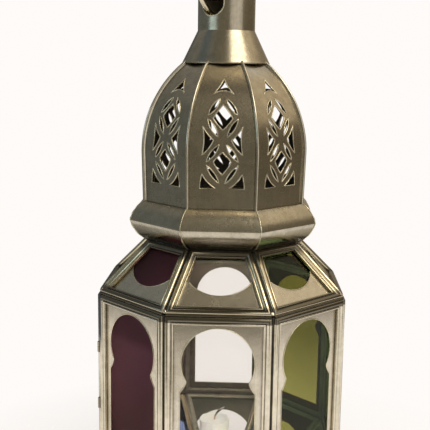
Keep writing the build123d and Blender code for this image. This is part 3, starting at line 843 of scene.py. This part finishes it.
def makeRail(name, shape, corners):
    deselectAll()
    bpy.ops.mesh.primitive_plane_add(size=panel["width"])
    piece = namedActive(name)
    bpy.ops.object.mode_set(mode="EDIT")
    mesh = bmesh.from_edit_mesh(piece.data)
    mesh.faces.ensure_lookup_table()
    for vert, corner in zip(mesh.faces[0].verts, corners):
        vert.co = corner
    mesh.normal_update()
    bmesh.update_edit_mesh(piece.data)
    bpy.ops.mesh.select_mode(type="FACE")
    bpy.ops.mesh.select_all(action="SELECT")
    for inward, upward in shape["profile"]:
        bpy.ops.mesh.inset(thickness=inward * mm, depth=upward * mm, use_even_offset=True)
    bpy.ops.mesh.delete(type="FACE")
    bpy.ops.object.mode_set(mode="OBJECT")
    fold = piece.modifiers.new("fold", "SOLIDIFY")
    fold.thickness = shape["wall"]
    fold.offset = -1
    bpy.ops.object.modifier_apply(modifier=fold.name)
    smoothShade(piece, bench["foldSmooth"])
    return piece


def beatFlat(piece, step):
    # the rail is beaten flat round the latch, so that the bar can turn over it
    outward = Vector((sin(eighth * step), -cos(eighth * step), 0))

    def isBesideLatch(edge):
        isUpright = abs(edge.verts[0].co.z - edge.verts[1].co.z) > panel["width"]
        return isUpright and (middleOf(edge) - latchPivot).length < rail["beside"]

    selectWhere(piece, "EDGE", isBesideLatch)
    bpy.ops.mesh.subdivide(number_cuts=rail["beatenCuts"])
    bpy.ops.object.mode_set(mode="OBJECT")
    for vert in piece.data.vertices:
        lift = vert.co.dot(outward) - apothem
        beyond = (vert.co - latchPivot).length - rail["beatenReach"]
        if lift > 0 and beyond < rail["beatenFade"]:
            vert.co -= outward * lift * rail["beaten"] * min(1.0, 1 - beyond / rail["beatenFade"])
    smoothShade(piece, bench["foldSmooth"])


def layRails(ending, shape, order, wallMetal, doorMetal, roofMetal):
    wallCorners = [wallPoint(x, y, shape["sink"]) for x, y in wallOutline(shape["start"])[::order]]
    roofCorners = [slopePoint(x, y, shape["sink"]) for x, y in slopeOutline(shape["start"])[::order]]
    wallRail = makeRail("front" + ending, shape, wallCorners)
    roofRail = makeRail("slope" + ending, shape, roofCorners)
    doorRail = turnedCopy(wallRail, "door" + ending, doorPlace)
    finishPiece(doorRail, doorMetal, "door")
    wallRails = allRound(wallRail, "wall" + ending, [doorPlace])
    roofRails = allRound(roofRail, "roof" + ending)
    skirtRails = loweredCopy(roofRails, "skirt" + ending)
    for rails, metal in ((wallRails, wallMetal), (roofRails, roofMetal), (skirtRails, roofMetal)):
        finishPiece(rails, metal)
    print(ending + ":", len(roofRails.data.polygons), "faces on the roof")
    return doorRail, wallRails


doorRail, wallRails = layRails(
    "Rails", rail, 1, metals["wallRailBrass"], metals["doorRailBrass"], metals["roofRailBrass"])
beatFlat(doorRail, doorPlace)
beatFlat(wallRails, latchPlace)

# The same frames seen from inside: a flatter rail and a bead on the inner fold
innerRail = {
    "start": 2.7 * mm, "sink": -4.2 * mm, "wall": 0.25 * mm,
    "profile": [
        (0.30, 0.30), (0.45, 0.20), (0.55, 0.02), (0.50, -0.14), (0.35, -0.22),
        (0.20, 0.20), (0.25, 0.12), (0.30, -0.06), (0.20, -0.22), (0.12, -0.45),
    ],
}
# the corners run the other way round, so that the rail faces the candle
layRails("InnerRails", innerRail, -1, *[metals["innerRailBrass"]] * 3)

# Thin turned lip along the cut of every plate
plateLip = {
    "radius": 0.34 * mm, "rough": 0.3, "grain": 220, "fold": 7 * mm, "longest": 7 * mm,
    "archOut": -0.9, "archCut": 0.1, "crescentBend": radians(60), "crescentOut": 0.6, "crescentUp": 0.5,
}


def isArchRim(edge):
    for vert in edge.verts:
        if abs(vert.co.y) > halfWidth - plateLip["fold"]:
            return False
        if not wallFoot + plateLip["fold"] < vert.co.z < wallTop - plateLip["fold"]:
            return False
    outFace, cutFace = sorted(face.normal.x for face in edge.link_faces)
    return outFace < plateLip["archOut"] and abs(cutFace) < plateLip["archCut"]


def isCrescentRim(edge):
    if edge.calc_length() > plateLip["longest"] or edge.calc_face_angle(0) <= plateLip["crescentBend"]:
        return False
    upFace = max(face.normal.z for face in edge.link_faces)
    return mostOutward(edge) > plateLip["crescentOut"] and upFace > plateLip["crescentUp"]


def makePlateLips():
    doorLip = wireOnNode("door_plate", "doorPlateLip", isArchRim, plateLip)
    others = [turnedCopy(doorLip, "wallPlateLip" + str(step), step) for step in range(1, len(places))]
    finishPiece(doorLip, metals["brightEdge"], "door")
    wallLips = joined(others, "wallPlateLips")
    roofLips = wireOnNode("roof_plates", "roofPlateLips", isCrescentRim, plateLip)
    for lips in (wallLips, roofLips, loweredCopy(roofLips, "skirtPlateLips")):
        finishPiece(lips, metals["brightEdge"])


makePlateLips()

# Dark solder in the joints between neighbouring frames, thick enough to also paint the shade of the deep corner
# gaps, and a clean run along the eaves
solderRun = {
    "corner": {"radius": 1.1 * mm, "rough": 0.3, "grain": 240}, "cornerSink": 0.95 * mm,
    "eaves": {"radius": 0.95 * mm, "rough": 0.3, "grain": 240}, "eavesSink": 0.2 * mm,
    "doorRoom": 1.2 * mm,
}


def cornerPoint(radius, z):
    return Vector((radius * sin(eighth / 2), -radius * cos(eighth / 2), z))


def makeSolder():
    room = solderRun["doorRoom"]
    sunk = cornerRadius - solderRun["cornerSink"]
    endRadius = slopeEnd / cos(eighth / 2) - solderRun["cornerSink"]
    corner = solderRun["corner"]
    upright = wireBetween("wallSolder", cornerPoint(sunk, wallFoot), cornerPoint(sunk, wallTop), corner)
    wallRuns = allRound(upright, "wallSolder", [doorPlace - 1, doorPlace])
    ridgeFoot, ridgeTop = cornerPoint(sunk - room, wallTop + room), cornerPoint(endRadius, roofTop)
    ridge = wireBetween("roofSolder", ridgeFoot, ridgeTop, corner)
    roofRuns = allRound(ridge, "roofSolder")
    half, deep = halfWidth - room, apothem - solderRun["eavesSink"]
    eaves = wireBetween("eavesSolder", Vector((-half, -deep, wallTop)), Vector((half, -deep, wallTop)),
                        solderRun["eaves"])
    eavesRuns = allRound(eaves, "eavesSolder", [doorPlace])
    skirtRuns = [loweredCopy(roofRuns, "skirtSolder"), loweredCopy(eavesRuns, "skirtJointSolder")]
    for runs in (*skirtRuns, wallRuns, roofRuns):
        finishPiece(runs, metals["darkSolderAndShade"])
    finishPiece(eavesRuns, metals["wallRailBrass"])
    print("solder runs laid")


makeSolder()

# Bright drop of solder where each ridge meets the eaves
solderDrop = {
    "radius": 1.7 * mm, "sink": -0.2 * mm, "above": 1.9 * mm, "flat": 0.75, "rough": 0.3, "grain": 700,
    "segments": 20, "rings": 12,
}


def makeSolderDrops():
    deselectAll()
    bpy.ops.mesh.primitive_uv_sphere_add(
        segments=solderDrop["segments"], ring_count=solderDrop["rings"], radius=solderDrop["radius"])
    drop = namedActive("eavesDrops")
    for vert in drop.data.vertices:
        vert.co *= 1 + solderDrop["rough"] * noise.noise(vert.co * solderDrop["grain"])
        vert.co.z *= solderDrop["flat"]
    inward = solderDrop["above"] * panel["slopeRun"] / panel["slopeRise"] / cos(eighth / 2)
    radius = cornerRadius - inward - solderDrop["sink"]
    drop.data.transform(Matrix.Translation(cornerPoint(radius, wallTop + solderDrop["above"])))
    smoothShade(drop, bench["roundSmooth"])
    drops = allRound(drop, "eavesDrops")
    for piece in (drops, loweredCopy(drops, "skirtDrops")):
        finishPiece(piece, metals["seamBrass"])
    print("solder drops:", len(drops.data.polygons), "faces")


makeSolderDrops()

# Candle with a melted top and a few runs of wax
candleShape = {
    "cups": [(1.0, 0.0), (0.9, -0.8), (2.8, -1.0), (3.6, 0.1), (1.2, 0.5)],  # inset and rise of each ring, in mm
    "sides": 80, "rows": 40, "smooth": 55, "topFace": 0.9,
    "rim": 1.1 * mm, "rimDepth": 4 * mm, "rimFrom": 0.8, "waves": 1.6, "waveShift": (3.1, 0.4, 0),
    "run": 0.9 * mm, "runFrom": 0.98, "shortest": 9.1 * mm, "longer": 16.9 * mm,
    "streams": 4.2, "streamFloor": 0.1, "streamGain": 2, "thin": 0.55, "swell": 0.45, "tail": 6,
}


def meltWax(vert, top, radius):
    # a wavy rim, and runs that swell on their way down and end in a drop
    around = awayFromAxis(vert.co)
    below = top - vert.co.z
    reach = vert.co.xy.length / radius
    wave = noise.noise(around * candleShape["waves"] + Vector(candleShape["waveShift"]))
    if reach > candleShape["rimFrom"] and below < candleShape["rimDepth"]:
        vert.co.z += candleShape["rim"] * wave * (1 - below / candleShape["rimDepth"])
    length = candleShape["shortest"] + candleShape["longer"] * abs(wave)
    if reach > candleShape["runFrom"] and below < length:
        stream = max(0.0, noise.noise(around * candleShape["streams"]) - candleShape["streamFloor"])
        swell = candleShape["thin"] + candleShape["swell"] * sin(pi * below / length)
        ending = 1 - (below / length) ** candleShape["tail"]
        vert.co += around * candleShape["run"] * candleShape["streamGain"] * stream * swell * ending


def makeCandle():
    radius = (candleHigh.x - candleLow.x) / 2
    height = candleHigh.z - candleLow.z
    deselectAll()
    bpy.ops.mesh.primitive_cylinder_add(vertices=candleShape["sides"], radius=radius, depth=height)
    candle = namedActive("candleMelted")
    selectWhere(candle, "EDGE", lambda edge: abs(edge.verts[0].co.z - edge.verts[1].co.z) > radius)
    bpy.ops.mesh.subdivide(number_cuts=candleShape["rows"])
    selectWhere(candle, "FACE", lambda face: face.normal.z > candleShape["topFace"])
    for inward, upward in candleShape["cups"]:
        bpy.ops.mesh.inset(thickness=inward * mm, depth=upward * mm)
    mesh = bmesh.from_edit_mesh(candle.data)
    for vert in mesh.verts:
        meltWax(vert, height / 2, radius)
    bmesh.update_edit_mesh(candle.data)
    bpy.ops.object.mode_set(mode="OBJECT")
    candle.data.transform(Matrix.Translation((candleLow + candleHigh) / 2))
    smoothShade(candle, candleShape["smooth"])
    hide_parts("candle")
    finishPiece(candle, candleWax)
    print("candle:", len(candle.data.polygons), "faces")


makeCandle()

# Burnt wick, bent to the right, thin at its foot and curled at its end
wickShape = {
    "points": [  # from the foot of the wick, in mm
        (0, 0, -2.4), (0.2, 0.1, 0.4), (1.2, 0.2, 3.2), (3.2, -0.1, 6.0),
        (5.4, -0.3, 7.9), (7.0, 0.0, 8.6), (7.5, 0.3, 9.4),
    ],
    "radii": [0.8, 0.85, 0.9, 1.05, 0.95, 0.7, 0.3], "radius": 0.8 * mm, "resolution": 3, "order": 3, "steps": 8,
    "twist": 0.18 * mm, "twistGrain": (900, 900, 1500),
}


def makeWick():
    foot = Vector(((candleLow.x + candleHigh.x) / 2, 0, wickFoot))
    deselectAll()
    bpy.ops.curve.primitive_nurbs_path_add()
    wick = namedActive("wickBurnt")
    spline = wick.data.splines[0]
    spline.points.add(len(wickShape["points"]) - len(spline.points))
    for point, place, radius in zip(spline.points, wickShape["points"], wickShape["radii"]):
        point.co = (*(foot + Vector(place) * mm), 1)
        point.radius = radius
    spline.order_u = wickShape["order"]
    spline.use_endpoint_u = True
    spline.resolution_u = wickShape["steps"]
    curveToMesh(wick, wickShape["radius"], wickShape["resolution"])
    grain = Vector(wickShape["twistGrain"])
    for vert in wick.data.vertices:
        vert.co += vert.normal * wickShape["twist"] * noise.noise(vert.co * grain)
    smoothShade(wick, bench["roundSmooth"])
    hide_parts("wick")
    finishPiece(wick, burntWick)
    print("wick:", len(wick.data.polygons), "faces")


makeWick()

# Camera at the photograph's viewing angle
cameraView = {
    "distance": 586.1 * mm, "aboveWall": 153.5 * mm,
    "aside": 1.441,  # in degrees; the next three are in radians
    "yaw": -0.0105, "pitch": 0.1738, "roll": 0.0141,
    "lens": 68.5, "sensor": 36, "nearest": 0.01, "farthest": 50,
}


def makeCamera():
    spin = Matrix.Rotation(radians(cameraView["aside"]), 3, "Z")
    yaw, dip, tilt = cameraView["yaw"], cameraView["pitch"], cameraView["roll"]
    ahead = Vector((sin(yaw), cos(yaw), 0))
    right = Vector((cos(yaw), -sin(yaw), 0))
    forward = cos(dip) * ahead - sin(dip) * Vector((0, 0, 1))
    up = sin(dip) * ahead + cos(dip) * Vector((0, 0, 1))
    tiltedRight = right * cos(tilt) + up * sin(tilt)
    tiltedUp = up * cos(tilt) - right * sin(tilt)
    axes = Matrix((spin @ tiltedRight, spin @ tiltedUp, spin @ -forward)).transposed()
    camera = linked("camera", bpy.data.cameras.new("camera"))
    place = spin @ Vector((0, -cameraView["distance"], 0)) + Vector((0, 0, wallTop + cameraView["aboveWall"]))
    camera.matrix_world = Matrix.Translation(place) @ axes.to_4x4()
    camera.data.lens = cameraView["lens"]
    camera.data.sensor_width = cameraView["sensor"]
    camera.data.clip_start = cameraView["nearest"]
    camera.data.clip_end = cameraView["farthest"]
    scene.camera = camera


makeCamera()

# Studio: pale floor, white surround, grey cards for the metal to mirror, soft lamps
studio = {
    "surround": (0.995, 0.962, 0.938), "air": (1, 0.97, 0.93), "ambient": 0.4,
    "floor": (0.8, 0.77, 0.73), "floorSize": 8.0, "floorCuts": 4, "floorFade": (0.1, 0.3, 0.6, 1.0),
}


def seenDirectly(tree):
    # 1 for what the camera, a mirror or a pane shows, 0 for light that falls on the object
    path = addNode(tree, "ShaderNodeLightPath").outputs
    shown = calculated(tree, "MAXIMUM", path["Is Camera Ray"], path["Is Glossy Ray"])
    return calculated(tree, "MAXIMUM", shown, path["Is Transmission Ray"])


def makeWorld():
    world = bpy.data.worlds.new("studioAir")
    scene.world = world
    world.use_nodes = True
    tree = world.node_tree
    tree.nodes.clear()
    lit = addNode(tree, "ShaderNodeBackground", {"Color": studio["air"], "Strength": studio["ambient"]})
    white = addNode(tree, "ShaderNodeBackground", {"Color": studio["surround"], "Strength": 1.0})
    addNode(tree, "ShaderNodeOutputWorld", {"Surface": mixedShader(tree, seenDirectly(tree), lit, white)})


def makeFloor():
    deselectAll()
    cuts = studio["floorCuts"]
    bpy.ops.mesh.primitive_grid_add(x_subdivisions=cuts, y_subdivisions=cuts, size=studio["floorSize"])
    floor = namedActive("floor")
    material, tree = blankMaterial("paleFloor")
    paint = addNode(tree, "ShaderNodeBsdfDiffuse", {"Color": studio["floor"]})
    white = addNode(tree, "ShaderNodeEmission", {"Color": studio["surround"]})
    reach = addNode(tree, "ShaderNodeVectorMath", {0: objectPlace(tree)}, operation="LENGTH").outputs["Value"]
    shown = calculated(tree, "MULTIPLY", seenDirectly(tree), ranged(tree, reach, *studio["floorFade"]))
    addNode(tree, "ShaderNodeOutputMaterial", {"Surface": mixedShader(tree, shown, paint, white)})
    floor.data.materials.append(material)


looks = {
    "back": (0, 1, 0), "front": (0, -1, 0), "right": (1, 0, 0), "left": (-1, 0, 0),
    "up": (0, 0, 1), "down": (0, 0, -1),
}
cards = {  # the middle, the width and height, the way it looks, and the grey
    "frontCard": ((-0.52, -0.52, 0.56), (1.36, 1.1), "back", (0.245, 0.225, 0.18)),
    "leftCard": ((-0.68, 0.1, 0.36), (1.5, 0.7), "right", (0.205, 0.222, 0.225)),
    "leftWall": ((-0.74, 0.1, 1.1), (1.7, 0.84), "right", (0.29, 0.29, 0.275)),
    # painted shadow: cards on the floor beside the lantern, mirrored in place of its shadow
    "leftFloorShadow": ((-0.27, 0.24, 0.002), (0.26, 0.36), "up", (0.24, 0.23, 0.205)),
    "rightFloorShadow": ((0.25, 0.24, 0.002), (0.22, 0.36), "up", (0.48, 0.43, 0.34)),
    "ceilingCard": ((-0.42, -0.3, 1.5), (1.4, 1.7), "down", (0.25, 0.222, 0.17)),
    "rightCard": ((0.72, 0.42, 0.265), (1.5, 0.51), "left", (0.19, 0.162, 0.115)),
    "warmWall": ((0.95, 0.45, 0.98), (1.5, 1.0), "left", (0.90, 0.77, 0.58)),
    "brownWall": ((0.94, 0.82, 0.80), (0.8, 0.42), "left", (0.43, 0.36, 0.27)),
    "blueWall": ((-0.735, -0.2, 1.0), (0.6, 0.32), "right", (0.15, 0.20, 0.25)),
    "blueFront": ((-0.5, -0.515, 1.02), (0.46, 0.2), "back", (0.16, 0.20, 0.225)),
    "backLeft": ((-0.75, 1.1, 0.6), (1.5, 1.3), "front", (0.13, 0.13, 0.115)),
    "backRight": ((0.75, 1.1, 0.6), (1.5, 1.3), "front", (0.36, 0.31, 0.23)),
    "creamCeiling": ((0.20, -0.11, 1.49), (0.34, 0.32), "down", (2.9, 2.4, 1.65)),
    "darkCeiling": ((-0.03, -0.58, 1.485), (0.40, 0.34), "down", (0.09, 0.08, 0.06)),
}


def makeCard(name, place, size, way, grey):
    # a card that only mirrors see
    deselectAll()
    bpy.ops.mesh.primitive_plane_add(size=1)
    piece = namedActive(name)
    front = Vector(looks[way])
    across = Vector((0, 1, 0) if way in ("up", "down") else (0, 0, 1)).cross(front)
    turn = Matrix((across, front.cross(across), front)).transposed().to_4x4()
    piece.data.transform(Matrix.Translation(place) @ turn @ Matrix.Diagonal((*size, 1, 1)))
    material, tree = blankMaterial(name)
    shade = addNode(tree, "ShaderNodeEmission", {"Color": grey})
    addNode(tree, "ShaderNodeOutputMaterial", {"Surface": shade.outputs[0]})
    piece.data.materials.append(material)
    for ray in ("camera", "diffuse", "shadow", "transmission"):
        setattr(piece, "visible_" + ray, False)


lamps = {  # the middle, the width and height, the power, the colour, and whether mirrors show it
    "warmKey": ((0.71, -0.62, 1.33), (1.9, 0.5), 11, (1.0, 0.93, 0.78), True),
    "coolStrip": ((-0.40, -0.30, 0.42), (0.26, 0.2), 0.27, (0.60, 0.84, 1.0), True),
    "softFront": ((0.5, -1.4, 1.5), (1.4, 1.0), 36, (1.0, 0.97, 0.92), False),
}


def makeLamp(name, place, size, power, colour, mirrored):
    data = bpy.data.lights.new(name, "AREA")
    data.shape = "RECTANGLE"
    data.size, data.size_y = size
    data.energy = power
    data.color = colour
    lamp = linked(name, data)
    lamp.location = place
    lamp.rotation_euler = (Vector((0, 0, wallTop)) - lamp.location).to_track_quat("-Z", "Y").to_euler()
    lamp.visible_glossy = mirrored


makeWorld()
makeFloor()
for cardName, card in cards.items():
    makeCard(cardName, *card)
for lampName, lamp in lamps.items():
    makeLamp(lampName, *lamp)
print("camera, studio and lamps set")
